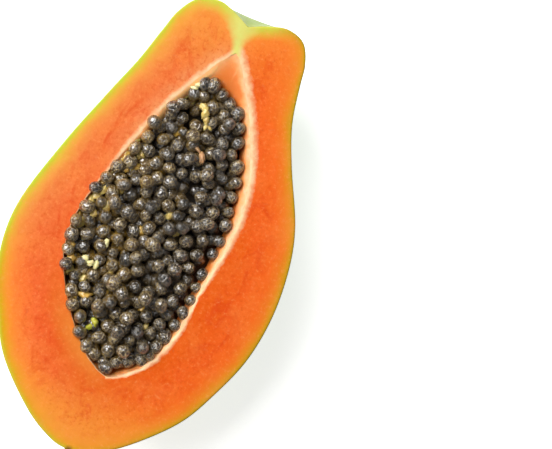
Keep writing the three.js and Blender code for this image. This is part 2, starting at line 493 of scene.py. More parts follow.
def surface_shift(spot, kinds, right, to_skin, to_cavity):
    """How far a point of the cut face or of the hollow moves, to round and roughen the cut edges."""
    if LINING in kinds:
        shift = ragged_shift(spot) * math.exp(spot.z / RAGGED_DOWN) + wall_slope(spot, right)
    else:
        shift = ragged_shift(spot) * math.exp(-to_cavity / RAGGED_OFF)
    if FLESH in kinds:
        near_skin = max(0.0, 1 - to_skin / SKIN_EDGE)
        near_rim = max(0.0, 1 - to_cavity / RIM_EDGE)
        rim_share = (RIM_EDGE_LEFT + (1 - RIM_EDGE_LEFT) * right) * smooth_step(*RIM_EDGE_IN, spot.y)
        inside = smooth_step(*FACE_WAVE_IN, to_skin) * smooth_step(*FACE_WAVE_IN, to_cavity)
        shift.z -= SKIN_EDGE_DROP * near_skin**2 + RIM_EDGE_DROP * rim_share * near_rim**2
        shift.z += FACE_WAVE * inside * (noise.noise(spot * FACE_WAVE_GRAIN) - 1)
    return shift


def finish_surface(mesh, skin_rim, cavity_rim):
    """Rounds the cut edges, presses the resting spot flat and notes what the finishes need to know."""
    noise.seed_set(RAGGED_START)
    layers = [mesh.verts.layers.float.new(name) for name in NOTES]
    low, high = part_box("half_fruit")
    lowest = (low.z - high.z) / MM
    for vert in mesh.verts:
        spot = vert.co.copy()
        kinds = {face.material_index for face in vert.link_faces}
        reaches = skin_rim.find(spot)[2], cavity_rim.find(spot)[2]
        notes = surface_notes(spot, kinds, *reaches)
        for layer, note in zip(layers, notes):
            vert[layer] = note
        if kinds == {SKIN}:
            vert.co.z = max(lowest, spot.z)
        else:
            vert.co += surface_shift(spot, kinds, notes[NOTES.index("rightness")], *reaches)


# Seeds


CAVITY_WIDEST = cavity_half_width(
    CAVITY_BOTTOM + (CAVITY_TOP - CAVITY_BOTTOM) * CAVITY_LOW / (CAVITY_LOW + CAVITY_HIGH)
)


def pack_level(across):
    """Height of the highest seed middles, across the cavity from its left-hand wall."""
    return SEED_HIGHEST - SEED_SLOPE * (across + CAVITY_WIDEST)


def hold_in_cavity(seeds, over_rim):
    """Keeps seeds between the cavity's walls and ends."""
    top = PACK_TOP - PACK_TOP_SLOPE * abs(seeds[:, 0] - PACK_TOP_ACROSS)
    bottom = PACK_BOTTOM + PACK_BOTTOM_SLOPE * abs(seeds[:, 0] - PACK_BOTTOM_ACROSS)
    seeds[:, 1] = np.clip(seeds[:, 1], bottom, top)
    for seed in seeds:
        half = cavity_half_width(seed[1])
        share = min(DEEPEST_SHARE, abs(seed[2]) / (half * CAVITY_DEPTH))
        reach = max(LEAST_ROOM, half * math.sqrt(1 - share * share) - seed[3] + over_rim)
        clear = WALL_CLEAR * smooth_step(*WALL_CLEAR_IN, seed[1])
        middle = cavity_middle(seed[1])
        seed[0] = min(middle + max(0, reach - clear), max(middle - reach, seed[0]))


def push_apart(seeds, fixed, touch, over_rim, rounds):
    """Moves seeds sideways until they lie side by side, clear of the fixed ones."""
    everyone = seeds
    for _ in range(rounds):
        everyone = np.vstack([seeds, fixed]) if len(fixed) else seeds
        gaps = seeds[:, None, :3] - everyone[None, :, :3]
        distance = np.maximum(1e-6, np.linalg.norm(gaps, axis=2))
        wanted = touch * (seeds[:, None, 3] + everyone[None, :, 3])
        push = SEED_PUSH * np.maximum(0, wanted / distance - 1)
        np.fill_diagonal(push[:, : len(seeds)], 0)
        seeds[:, :2] += (push[:, :, None] * gaps[:, :, :2]).sum(axis=1)
        hold_in_cavity(seeds, over_rim)
    return seeds


def strewn_seeds(count, start, lower):
    """Seeds strewn over the cavity at random heights, lower than the top layer by the given amount."""
    draws = random_from(start)
    seeds = []
    while len(seeds) < count:
        y = PACK_BOTTOM + next(draws) * (PACK_TOP - PACK_BOTTOM)
        across = (2 * next(draws) - 1) * CAVITY_WIDEST
        radius = SEED_RADIUS + SEED_VARY * (2 * next(draws) - 1)
        z = pack_level(across) - lower - max(SEED_DROP * next(draws), CORE_BELOW + CORE_SUNK - radius)
        if abs(across) < cavity_half_width(y):
            seeds.append((cavity_middle(y) + across, y, z, radius))
    return np.array(seeds)


# The seeds under the top layer: how much lower they lie, how closely and how far from the walls
LOWER_COUNT = 190
LOWER_START = 4242
LOWER_BY = 4.3
LOWER_TOUCH = 0.93
LOWER_OVER_RIM = -0.4
LOWER_ROUNDS = 60
# The seeds heaped on the top layer: where they may lie, how high, how far sunk in and how far apart
HEAPED_COUNT = 34
HEAPED_START = 77
HEAPED_BOTTOM = PACK_BOTTOM + 8
HEAPED_LENGTH = PACK_TOP - PACK_BOTTOM - 20
HEAPED_LEFT = -0.95
HEAPED_ACROSS = 1.6
HEAPED_LOWEST = -10
HEAPED_HIGHEST = 4.3
HEAPED_SUNK = 0.8
HEAPED_APART = 1.7
HEAPED_CLEAR = 4.6
# How far seeds spill over the left-hand rim at the belly, and how far they keep off it in the neck
SPILL_BELLY = 2.4
SPILL_BELLY_LOW_IN = (38, 48)
SPILL_BELLY_HIGH_IN = (135, 112)
SPILL_NECK = 1.6
SPILL_NECK_IN = (125, 145)
SPILL_RISE = 0.8
SPILL_EVEN = 0.65
SPILL_UNEVEN = 0.8
SPILL_GRAIN = 0.2
# How far the seeds at the lower right draw near to the wall
SPILL_RIGHT = 1.9
SPILL_RIGHT_LOW_IN = (55, 75)
SPILL_RIGHT_HIGH_IN = (120, 100)
# How near to a wall a seed feels it, faintly and from close by
SPILL_REACH_IN = (13, 0.5)
SPILL_CLOSE_IN = (3, 0.5)
SPILL_RIGHT_REACH_IN = (13, 1.5)
# Seeds that lie by themselves, at the blossom end and in a pocket of the stem end: place and radius
LONE_SEEDS = [(1.4, 38.2, -1.0, 3.1), (8.6, 162.6, -3.6, 3.1), (5.0, 41.0, -2.4, 2.7)]
# Dark dips in the pack: their places, how wide they are and how far their seeds are sunk
DIPS = [(-2, 151.8), (6.9, 121.2), (3.6, 77.8)]
DIP_REACH = 3.4
DIP_DEPTH = 5
# Within this distance of a dip's middle no lower seeds lie
DIP_BARE = 4.6


def in_dip(x, y, reach):
    return any(math.hypot(x - across, y - height) < reach for across, height in DIPS)


def heaped_seeds(top):
    """Seeds resting in the hollows between top seeds, clear of the pale bits and of the dark dips."""
    draws = random_from(HEAPED_START)
    kept_clear = [bit[1:3] for bit in PALE_BITS] + DIPS
    heaped = []
    while len(heaped) < HEAPED_COUNT:
        y = HEAPED_BOTTOM + next(draws) * HEAPED_LENGTH
        x = cavity_middle(y) + (HEAPED_ACROSS * next(draws) + HEAPED_LEFT) * cavity_half_width(y)
        radius = SEED_RADIUS + SEED_VARY * (2 * next(draws) - 1)
        gaps = np.hypot(top[:, 0] - x, top[:, 1] - y)
        reach = radius + top[:, 3]
        rests = top[:, 2] + HEAPED_SUNK * np.sqrt(np.maximum(0, reach**2 - gaps**2))
        z = rests[gaps < reach].max(initial=HEAPED_LOWEST)
        apart = all(math.hypot(x - seed[0], y - seed[1]) > HEAPED_APART * radius for seed in heaped)
        clear = all(math.hypot(x - spot[0], y - spot[1]) > HEAPED_CLEAR for spot in kept_clear)
        if apart and clear and z < HEAPED_HIGHEST:
            heaped.append((x, y, z, radius))
    return np.array(heaped)


def loosen_top(top):
    """Draws top seeds over the rim at the belly, off it in the neck, to the wall at the lower right and
    down into the dips."""
    for seed in top:
        x, y, _, radius = seed
        middle = cavity_middle(y)
        half = cavity_half_width(y)
        gap = x - middle + half - radius
        close = smooth_step(*SPILL_CLOSE_IN, gap)
        uneven = SPILL_EVEN + SPILL_UNEVEN * noise.noise(Vector((x, y, 0)) * SPILL_GRAIN)
        belly = smooth_step(*SPILL_BELLY_HIGH_IN, y) * smooth_step(*SPILL_BELLY_LOW_IN, y)
        seed[0] += close * SPILL_NECK * smooth_step(*SPILL_NECK_IN, y)
        seed[0] -= smooth_step(*SPILL_REACH_IN, gap) * SPILL_BELLY * uneven * belly
        seed[2] += close * SPILL_RISE * belly
        lower_right = smooth_step(*SPILL_RIGHT_LOW_IN, y) * smooth_step(*SPILL_RIGHT_HIGH_IN, y)
        seed[0] += SPILL_RIGHT * smooth_step(*SPILL_RIGHT_REACH_IN, middle + half - x - radius) * lower_right
        if in_dip(x, y, DIP_REACH):
            seed[2] -= DIP_DEPTH
    return top


def seed_places():
    top = push_apart(strewn_seeds(SEED_COUNT, SEED_START, 0), [], 1.0, SEED_OVER_RIM, SEED_ROUNDS)
    lower = strewn_seeds(LOWER_COUNT, LOWER_START, LOWER_BY)
    lower = push_apart(lower, top, LOWER_TOUCH, LOWER_OVER_RIM, LOWER_ROUNDS)
    lower = lower[[not in_dip(seed[0], seed[1], DIP_BARE) for seed in lower]]
    top = np.vstack([loosen_top(top), LONE_SEEDS])
    return top, lower, heaped_seeds(top)


# A seed's shape: how long and how slim it is, how much slimmer at one end, and its size as shown
SEED_LONG = 1.02
SEED_LONG_VARY = 0.2
SEED_SLIM = 0.97
SEED_EGG = 0.07
SEED_SHOWN = 0.88
SEED_SHOWN_VARY = 0.16
# Smoothing shrinks the blank, so that each seed starts larger by this
SMOOTHING_SHRINK = 1.09
# How far apart the seeds' patterns are taken
PATTERN_SPREAD = 40
# The pulp between the seeds, with a painted glow of light through their wet jelly: how quickly it comes and
# goes, how little of it is on the right, and how high up a seed it reaches
PULP_GRAIN = 0.11
PULP_IN = (0.38, 0.6)
PULP_LEAST = 0.2
PULP_UP_IN = (0.85, 0.1)
# Deep seeds are steeped in pulp and painted glow all over; deep seeds and seeds on the right get painted
# shade, darker tones for the shade deep in the pack and by the right-hand wall
DEEP_IN = (-3.5, -6.5)
DEEP_PAINTED_SHADE = 0.9
RIGHT_PAINTED_SHADE = 0.3


def add_seed_blank(mesh):
    """A rounded cube of radius 1 that every seed is copied from."""
    bmesh.ops.create_cube(mesh, size=1)
    bmesh.ops.subdivide_edges(mesh, edges=mesh.edges, cuts=1, use_grid_fill=True)
    for vert in mesh.verts:
        vert.co.normalize()
    return mesh.verts[:] + mesh.edges[:] + mesh.faces[:]


def add_seed(mesh, blank, place, draws, layers):
    """One seed: a copy of the blank, a little egg-shaped and turned at random, with its own tone and painted
    shade.
    """
    offset = Vector((next(draws), next(draws), next(draws))) * PATTERN_SPREAD
    tone = next(draws)
    turn = Euler([2 * math.pi * next(draws) for _ in range(3)]).to_matrix()
    long = SEED_LONG + SEED_LONG_VARY * next(draws)
    radius = place[3] * SMOOTHING_SHRINK * (SEED_SHOWN + SEED_SHOWN_VARY * next(draws))
    middle = Vector(place[:3])
    left = smooth_step(SIDE_SPAN, -SIDE_SPAN, middle.x - cavity_middle(middle.y))
    deep = smooth_step(*DEEP_IN, middle.z)
    # Pulp colour and painted glow of light through the jelly, most on the left and low on each seed
    pulp = smooth_step(*PULP_IN, 0.5 + 0.5 * noise.noise(middle * PULP_GRAIN))
    pulp *= PULP_LEAST + (1 - PULP_LEAST) * left
    # Painted shade: darker tones for seeds that lie deep in the pack and for seeds by the right-hand wall
    tone *= (1 - DEEP_PAINTED_SHADE * deep) * (1 - RIGHT_PAINTED_SHADE * (1 - left))
    for vert in bmesh.ops.duplicate(mesh, geom=blank)["geom"]:
        if not isinstance(vert, bmesh.types.BMVert):
            continue
        unit = vert.co.copy()
        slim = SEED_SLIM * (1 - SEED_EGG * unit.z)
        turned = turn @ Vector((unit.x * slim, unit.y * slim, unit.z * long))
        vert.co = middle + turned * radius
        vert[layers["seed_place"]] = unit + offset
        vert[layers["seed_tone"]] = tone
        vert[layers["seed_pulp_and_glow"]] = pulp * max(deep, smooth_step(*PULP_UP_IN, turned.z))


def seeds_mesh(places, start):
    mesh = bmesh.new()
    layers = {
        "seed_place": mesh.verts.layers.float_vector.new("seed_place"),
        "seed_tone": mesh.verts.layers.float.new("seed_tone"),
        "seed_pulp_and_glow": mesh.verts.layers.float.new("seed_pulp_and_glow"),
    }
    draws = random_from(start)
    blank = add_seed_blank(mesh)
    for place in places:
        add_seed(mesh, blank, place, draws, layers)
    bmesh.ops.delete(mesh, geom=[part for part in blank if isinstance(part, bmesh.types.BMVert)])
    return mesh


# How far the dark pulp under the seeds lies below them, inside the walls and beyond the pack's stem end; its
# near black is painted shade in the gaps between the seeds
BED_BELOW = 6.5
BED_GAP = 0.4
BED_END = -2


def cut_off(mesh, point, normal):
    """Cuts off what lies beyond a plane and closes the cut."""
    geom = mesh.verts[:] + mesh.edges[:] + mesh.faces[:]
    cut = bmesh.ops.bisect_plane(
        mesh, geom=geom, dist=1e-4, plane_co=point, plane_no=normal, clear_outer=True
    )
    rim = [part for part in cut["geom_cut"] if isinstance(part, bmesh.types.BMEdge)]
    bmesh.ops.edgeloop_fill(mesh, edges=rim)


def seed_bed_mesh():
    """The dark pulp under the seeds, near black as painted shade in their gaps: the cavity's own shape, cut
    off below and beyond the seed layers.
    """
    mesh = spun_shell(cavity_profile(BED_GAP), WALL_STEPS)
    for vert in mesh.verts:
        vert.co = shape_cavity(vert.co)
    tilt = math.atan(SEED_SLOPE)
    level = Vector((0, 0, pack_level(0) - BED_BELOW))
    cut_off(mesh, level, Vector((math.sin(tilt), 0, math.cos(tilt))))
    end = Vector((PACK_TOP_ACROSS, PACK_TOP + BED_END, 0))
    cut_off(mesh, end, Vector((PACK_TOP_SLOPE, 1, 0)).normalized())
    bmesh.ops.recalc_face_normals(mesh, faces=mesh.faces)
    return mesh


# Pale bits among the seeds


# Each bit: name, across and height on the cut face, how far below it, length, width, turn in degrees, finish
PALE_BITS = [
    ("strand top", -0.9, 156.6, -1.2, 4.6, 3.0, 150, "cream"),
    ("strand upper", 0.4, 154.6, -1.5, 4.8, 3.4, 110, "cream"),
    ("strand lower", 1.7, 152.0, -1.3, 4.6, 2.8, 130, "cream"),
    ("strand end", 2.7, 149.6, -0.9, 4.2, 1.8, 105, "cream"),
    ("strand tail", 4.2, 149.2, -0.9, 3.2, 1.2, 150, "cream"),
    ("strand peach", 3.4, 138.8, -0.2, 4.6, 1.4, 150, "peach"),
    ("strand peach low", 6.4, 136.0, -0.6, 5.0, 2.4, 110, "peach"),
    ("unripe seed", -18.3, 86.7, -0.4, 4.6, 3.0, 62, "white"),
    ("cluster left", -23.5, 78.6, 0.2, 3.6, 2.6, 160, "white"),
    ("cluster middle", -21.0, 77.2, 0.0, 3.4, 2.4, 20, "white"),
    ("cluster right", -18.3, 77.4, 0.4, 4.0, 2.2, 95, "white"),
    ("speck upper left", -27.0, 86.8, 0.6, 3.2, 2.2, 70, "cream"),
    ("speck left", -29.1, 72.9, 1.0, 4.0, 2.6, 100, "cream"),
    ("speck middle", -11.3, 77.2, 1.2, 3.2, 2.2, 100, "olive"),
    ("speck high left", -27.4, 107.7, 0.6, 4.4, 2.4, 60, "cream"),
    ("speck left wall", -27.4, 97.0, 0.8, 4.2, 2.6, 80, "cream"),
    ("green speck", -9.9, 54.9, 0.5, 4.2, 2.4, 140, "lime"),
    ("green speck low", -11.2, 52.0, 0.9, 3.6, 2.2, 50, "lime"),
    ("yellow patch", -23.6, 62.4, 1.4, 6.0, 3.6, 175, "amber"),
    ("yellow patch right", -18.0, 63.4, 1.6, 6.0, 3.4, 10, "amber"),
    ("top speck", -6.4, 164.6, 0.0, 3.6, 2.0, 50, "white"),
    ("top speck left", -7.8, 162.4, 0.3, 3.4, 1.8, 10, "white"),
]
PULP_COLOURS = {
    "cream": "dcc070", "peach": "c8986c", "white": "eee2a4",
    "olive": "8f8240", "lime": "b8ba38", "amber": "c8a04a",
}
# How much each bit swells and shrinks, and how quickly, from coarse to fine, and how much it bends
BIT_SWELLS = ((0.35, 1.3), (0.45, 4), (0.22, 9))
BIT_BEND = 0.25
BIT_APART = 7.0


def add_pale_bit(mesh, bit, index, layers):
    """A small soft lump, drawn out along its length and uneven all over."""
    _, across, height, below, length, width, turn, finish = bit
    made = bmesh.ops.create_icosphere(mesh, subdivisions=3, radius=1)["verts"]
    spin = Matrix.Rotation(math.radians(turn), 3, "Z")
    colour = from_screen(PULP_COLOURS[finish])
    own = Vector((index * BIT_APART, 0, 0))
    for vert in made:
        unit = vert.co.copy()
        swell = 1 + sum(amount * noise.noise(unit * grain + own) for amount, grain in BIT_SWELLS)
        bend = BIT_BEND * unit.x * unit.x * width
        local = Vector((unit.x * length / 2, unit.y * width / 2 + bend, unit.z * width / 2)) * swell
        vert.co = Vector((across, height, -below)) + spin @ local
        vert[layers["pulp_colour"]] = (*colour, 1)


SCRAP_START = 909
# Scraps along the left-hand wall: the stretch they lie on, how they crowd at its top, how far they lie off
# the wall and below the cut face, how long and how slim they are, and their turn, each from and to
RIM_SCRAPS = 30
RIM_SCRAP_TOP = PACK_TOP - 3
RIM_SCRAP_STRETCH = PACK_TOP - PACK_BOTTOM - 25
RIM_SCRAP_CROWDING = 1.5
RIM_SCRAP_OFF = (0.8, 3.2)
RIM_SCRAP_BELOW = (2.4, 3.8)
RIM_SCRAP_LENGTH = (4.5, 8.5)
RIM_SCRAP_SLIM = 0.5
RIM_SCRAP_TURN = (62, 92)
RIM_SCRAP_FINISHES = ("cream", "amber", "cream", "peach")
# Scraps between the top seeds: where across they lie, how clear their gap is, and how high they lie in it
GAP_SCRAPS = 22
GAP_SCRAP_LEFT = -0.95
GAP_SCRAP_ACROSS = 1.6
GAP_SCRAP_LENGTH = (3.0, 5.0)
GAP_SCRAP_SLIM = 0.7
GAP_SCRAP_FINISHES = ("olive", "amber", "cream")
GAP_CLEAR = 0.85
GAP_WIDEST = 1.9
GAP_DEPTH = 0.8


def drawn_from(draws, span):
    low, high = span
    return low + (high - low) * next(draws)


def drawn_one(draws, choices):
    return choices[int(len(choices) * next(draws))]


def rim_scraps(draws):
    """Soft cream pulp between the left-hand wall and the seeds, more of it towards the neck."""
    scraps = []
    for _ in range(RIM_SCRAPS):
        y = RIM_SCRAP_TOP - RIM_SCRAP_STRETCH * next(draws) ** RIM_SCRAP_CROWDING
        x = cavity_middle(y) - cavity_half_width(y) + drawn_from(draws, RIM_SCRAP_OFF)
        length = drawn_from(draws, RIM_SCRAP_LENGTH)
        turn = drawn_from(draws, RIM_SCRAP_TURN)
        finish = drawn_one(draws, RIM_SCRAP_FINISHES)
        below = drawn_from(draws, RIM_SCRAP_BELOW)
        scraps.append(("rim scrap", x, y, below, length, RIM_SCRAP_SLIM * length, turn, finish))
    return scraps


def gap_scraps(draws, top):
    """Small scraps of pulp in the gaps between the top seeds, most of them on the left."""
    scraps = []
    while len(scraps) < GAP_SCRAPS:
        y = PACK_BOTTOM + next(draws) * (PACK_TOP - PACK_BOTTOM)
        x = cavity_middle(y) + cavity_half_width(y) * (GAP_SCRAP_ACROSS * next(draws) ** 2 + GAP_SCRAP_LEFT)
        gaps = np.hypot(top[:, 0] - x, top[:, 1] - y) / top[:, 3]
        nearest = np.argsort(gaps)[:3]
        length = drawn_from(draws, GAP_SCRAP_LENGTH)
        turn = 180 * next(draws)
        finish = drawn_one(draws, GAP_SCRAP_FINISHES)
        if gaps[nearest[0]] > GAP_CLEAR and gaps[nearest[2]] < GAP_WIDEST:
            below = GAP_DEPTH - float(top[nearest, 2].mean())
            scraps.append(("gap scrap", x, y, below, length, GAP_SCRAP_SLIM * length, turn, finish))
    return scraps


def pale_bits_mesh():
    mesh = bmesh.new()
    layers = {"pulp_colour": mesh.verts.layers.float_color.new("pulp_colour")}
    draws = random_from(SCRAP_START)
    bits = PALE_BITS + rim_scraps(draws) + gap_scraps(draws, seed_places()[0])
    for index, bit in enumerate(bits):
        add_pale_bit(mesh, bit, index, layers)
    return mesh


# Finishes


# Nearly all of a noise lies between these
NOISE_RANGE = (0.3, 0.7)


class Finish:
    """A material being made, with short ways to add its nodes and link them. A colour is a code, a linear
    colour or another node's output."""

    def __init__(self, name, read_code=from_screen):
        self.material = bpy.data.materials.new(name)
        self.material.use_nodes = True
        self.tree = self.material.node_tree
        self.shader = self.tree.nodes["Principled BSDF"]
        self.read_code = read_code

    def put(self, socket, value):
        if isinstance(value, bpy.types.NodeSocket):
            self.tree.links.new(value, socket)
        else:
            socket.default_value = value

    def node(self, kind, values, **settings):
        made = self.tree.nodes.new("ShaderNode" + kind)
        for key, setting in settings.items():
            setattr(made, key, setting)
        for key, value in values.items():
            self.put(made.inputs[key], value)
        return made

    def shade(self, **values):
        for key, value in values.items():
            self.put(self.shader.inputs[key.replace("_", " ")], value)

    def attribute(self, name, output="Fac"):
        return self.node("Attribute", {}, attribute_name=name).outputs[output]

    def place(self, stretch):
        """Object coordinates, stretched for a pattern."""
        seat = self.node("TexCoord", {}).outputs["Object"]
        return self.node("Mapping", {"Vector": seat, "Scale": stretch}).outputs["Vector"]

    def grain(self, scale, detail=3.0, roughness=0.5, distortion=0.0, stretch=(1, 1, 1), vector=None):
        """A noise over the object, or over a vector where one is given."""
        values = {"Scale": scale, "Detail": detail, "Roughness": roughness, "Distortion": distortion}
        values["Vector"] = vector if vector is not None else self.place(stretch)
        return self.node("TexNoise", values).outputs["Fac"]

    def span(self, value, between, to=(0.0, 1.0)):
        """A value between two bounds as one between two others."""
        bounds = zip(("From Min", "From Max", "To Min", "To Max"), (*between, *to))
        return self.node("MapRange", {"Value": value, **dict(bounds)}).outputs["Result"]

    def drift(self, amount, **grain):
        """A noise that wanders by the amount to both sides of zero."""
        return self.span(self.grain(**grain), NOISE_RANGE, (-amount, amount))

    def math_node(self, operation, first, second):
        return self.node("Math", {0: first, 1: second}, operation=operation).outputs[0]

    def plus(self, first, second):
        return self.math_node("ADD", first, second)

    def times(self, first, second):
        return self.math_node("MULTIPLY", first, second)

    def colour(self, value):
        """A colour code as the colour that a node takes, and anything else as it is."""
        return (*self.read_code(value), 1) if isinstance(value, str) else value

    def blend(self, share, first, second):
        made = self.node("Mix", {0: share}, data_type="RGBA")
        self.put(made.inputs[6], self.colour(first))
        self.put(made.inputs[7], self.colour(second))
        return made.outputs[2]

    def tint(self, colour, tone, value, between, most=1.0):
        """Lays a tone over a colour where the value nears the second bound, at most by the share given."""
        return self.blend(self.span(value, between, (0.0, most)), colour, tone)

    def ramp(self, value, stops):
        """A colour ramp through (place, colour) stops."""
        made = self.node("ValToRGB", {"Fac": value})
        for index, (place, colour) in enumerate(stops):
            elements = made.color_ramp.elements
            stop = elements[index] if index < 2 else elements.new(place)
            stop.position = place
            stop.color = self.colour(colour)
        return made.outputs["Color"]

    def bump(self, height, strength, distance):
        values = {"Height": height, "Strength": strength, "Distance": distance}
        return self.node("Bump", values).outputs["Normal"]


# Colours of the cut flesh from the skin inwards, at their depth in millimetres: on the left, at the lower
# left and on the right
DEPTH_SHOWN = 32
FLESH_LEFT = [
    (0, "a2c42c"), (0.6, "c0cc3a"), (1.3, "d6ce3e"), (2, "e4c242"), (3.2, "ebab46"), (5, "f09848"),
    (8, "f08646"), (14, "ee763f"), (26, "eb6d35"),
]
FLESH_LOW_LEFT = [
    (0, "c0c23a"), (0.7, "cebe36"), (1.4, "dab228"), (2.2, "e4a926"), (3.4, "eea030"), (5, "f59636"),
    (7.5, "fb893a"), (11, "fa7d3a"), (16, "f36c38"), (24, "ec642c"),
]
FLESH_RIGHT = [
    (0, "aa9e26"), (0.7, "ca9a24"), (1.5, "d8942a"), (2.6, "e88c2a"), (4.4, "f27e2e"), (8, "f7702c"),
    (15, "f4672a"), (24, "ee6424"),
]
# Tones laid over the flesh
FLESH_TONES = {
    "warm": "f5a040", "stem end": "d2d450", "halo": "f3ae72", "red fibres": "e24a18", "clouds": "fb8f45",
    "dark specks": "d9541c", "light specks": "ffa35c", "amber": "ea963e",
}
RIM_CREAM = [(0.35, "f8bb8a"), (0.62, "fdd6a6")]
TRACE_PALE = "f7de9e"
TRACE_GREENISH = "e0de78"
SCAR_COLOUR = from_screen("4a2f14")
# How far the bands of colour wander, coarsely and finely, and at which depths they do
BANDS_WANDER = 1.4
BANDS_WANDER_FINE = 0.35
BANDS_WANDER_IN = (0.6, 6.0)
# The depths between which each tone comes in, and the least and the most of it that shows
WARM_DEPTH_IN = (0.3, 4.5)
WARM_SHARE = (0.1, 0.7)
STEM_END_DEPTH_IN = (6.0, 0.5)
INNER_DEPTH_IN = (4.0, 13.0)
HALO_SHARE = (0.3, 0.8)
AMBER_SHARE = 0.6
# How ragged the pale edge and the pale trace are
EDGE_RAGGED = 0.3
# How much the stage's light brightens the cut face, and what the wet sheen adds to it
LIGHT_ON_FACE = 1.1
SHEEN_ON_FACE = 0.014


def shown_colour(code):
    """The surface colour that looks like the given one in the stage's light, under the wet sheen."""
    return tuple(max(0.001, (part - SHEEN_ON_FACE) / LIGHT_ON_FACE) for part in from_screen(code))


def banded_flesh(finish, depth):
    """The flesh's bands of colour by the depth from the skin."""
    wander = finish.drift(BANDS_WANDER, scale=55.0)
    fine = finish.drift(BANDS_WANDER_FINE, scale=420.0, detail=2.0)
    loosened = finish.times(finish.plus(wander, fine), finish.span(depth, BANDS_WANDER_IN))
    share = finish.math_node("DIVIDE", finish.plus(depth, loosened), DEPTH_SHOWN)
    left, low_left, right = [
        finish.ramp(share, [(place / DEPTH_SHOWN, code) for place, code in colours])
        for colours in (FLESH_LEFT, FLESH_LOW_LEFT, FLESH_RIGHT)
    ]
    colour = finish.blend(finish.attribute("green_side"), low_left, left)
    return finish.blend(finish.attribute("rightness"), colour, right)


def warmed_flesh(finish, depth, colour):
    """Yellower flesh near the ends, and paler flesh round the neck of the cavity."""
    warm = finish.times(finish.attribute("warm"), finish.span(depth, WARM_DEPTH_IN, WARM_SHARE))
    colour = finish.blend(warm, colour, FLESH_TONES["warm"])
    shoulder = finish.times(finish.attribute("stem_end"), finish.span(depth, STEM_END_DEPTH_IN))
    colour = finish.blend(shoulder, colour, FLESH_TONES["stem end"])
    cloudy = finish.span(finish.grain(scale=150.0, detail=4.0), NOISE_RANGE, HALO_SHARE)
    halo = finish.times(finish.attribute("halo"), cloudy)
    return finish.blend(halo, colour, FLESH_TONES["halo"])


def mottled_flesh(finish, depth, colour):
    """Fibres that run along the fruit, soft clouds, fine specks and the amber patch."""
    fibres = finish.grain(scale=130.0, detail=5.0, roughness=0.65, distortion=1.2, stretch=(1.0, 0.6, 1.0))
    inner = finish.span(depth, INNER_DEPTH_IN)
    reddened = finish.times(finish.span(fibres, between=(0.5, 0.72), to=(0.0, 0.75)), inner)
    colour = finish.blend(reddened, colour, FLESH_TONES["red fibres"])
    clouds = finish.grain(scale=70.0, detail=4.0, roughness=0.55)
    colour = finish.tint(colour, FLESH_TONES["clouds"], clouds, between=(0.5, 0.75), most=0.4)
    specks = finish.grain(scale=620.0, roughness=0.7)
    darkened = finish.times(finish.span(specks, between=(0.54, 0.7), to=(0.0, 0.55)), inner)
    colour = finish.blend(darkened, colour, FLESH_TONES["dark specks"])
    colour = finish.tint(colour, FLESH_TONES["light specks"], specks, between=(0.46, 0.3), most=0.35)
    return finish.blend(finish.times(finish.attribute("amber"), AMBER_SHARE), colour, FLESH_TONES["amber"])


def edged_flesh(finish, colour):
    """The pale edge round the cavity, the pale trace to the stem end and the dried blossom scar."""
    ragged = finish.drift(EDGE_RAGGED, scale=420.0, detail=4.0, roughness=0.6)
    edge = finish.plus(finish.attribute("pale_edge"), ragged)
    cream = finish.ramp(finish.grain(scale=260.0), RIM_CREAM)
    colour = finish.tint(colour, cream, edge, between=(1.5, 0.5))
    wavy = finish.span(ragged, between=(-EDGE_RAGGED, EDGE_RAGGED), to=(-0.1, 0.1))
    trace = finish.plus(finish.attribute("trace"), wavy)
    pale = finish.blend(finish.attribute("stem_end"), TRACE_PALE, TRACE_GREENISH)
    colour = finish.tint(colour, pale, trace, between=(0.05, 1.05))
    return finish.blend(finish.attribute("scar"), colour, (*SCAR_COLOUR, 1))


def flesh_finish():
    """Ripe flesh as the cut face shows it."""
    finish = Finish("ripe_flesh", shown_colour)
    relief = finish.grain(scale=700.0, detail=4.0, roughness=0.6)
    depth = finish.attribute("skin_depth")
    colour = warmed_flesh(finish, depth, banded_flesh(finish, depth))
    colour = edged_flesh(finish, mottled_flesh(finish, depth, colour))
    finish.shade(
        Base_Color=colour,
        Roughness=finish.span(finish.grain(scale=200.0), NOISE_RANGE, (0.38, 0.52)),
        Normal=finish.bump(relief, strength=0.25, distance=0.0002),
        Subsurface_Weight=0.1,
        Subsurface_Radius=(1.0, 0.35, 0.12),
        Subsurface_Scale=0.002,
        Specular_IOR_Level=0.2,
    )
    return finish.material


# Colours of the cavity's lining, from the rim down to this depth in millimetres: on the left and on the right
LINING_SHOWN = 24.0
LINING_WANDER = 1.3
LINING_LEFT = [(0.0, "f2944a"), (0.12, "ea8038"), (0.3, "e87c2e"), (1.0, "e87822")]
LINING_RIGHT = [(0.0, "fdc698"), (0.1, "f8a462"), (0.2, "ea823c"), (1.0, "d8661e")]
LINING_HALO = "fcbc78"
LINING_VEINS = "f5b878"


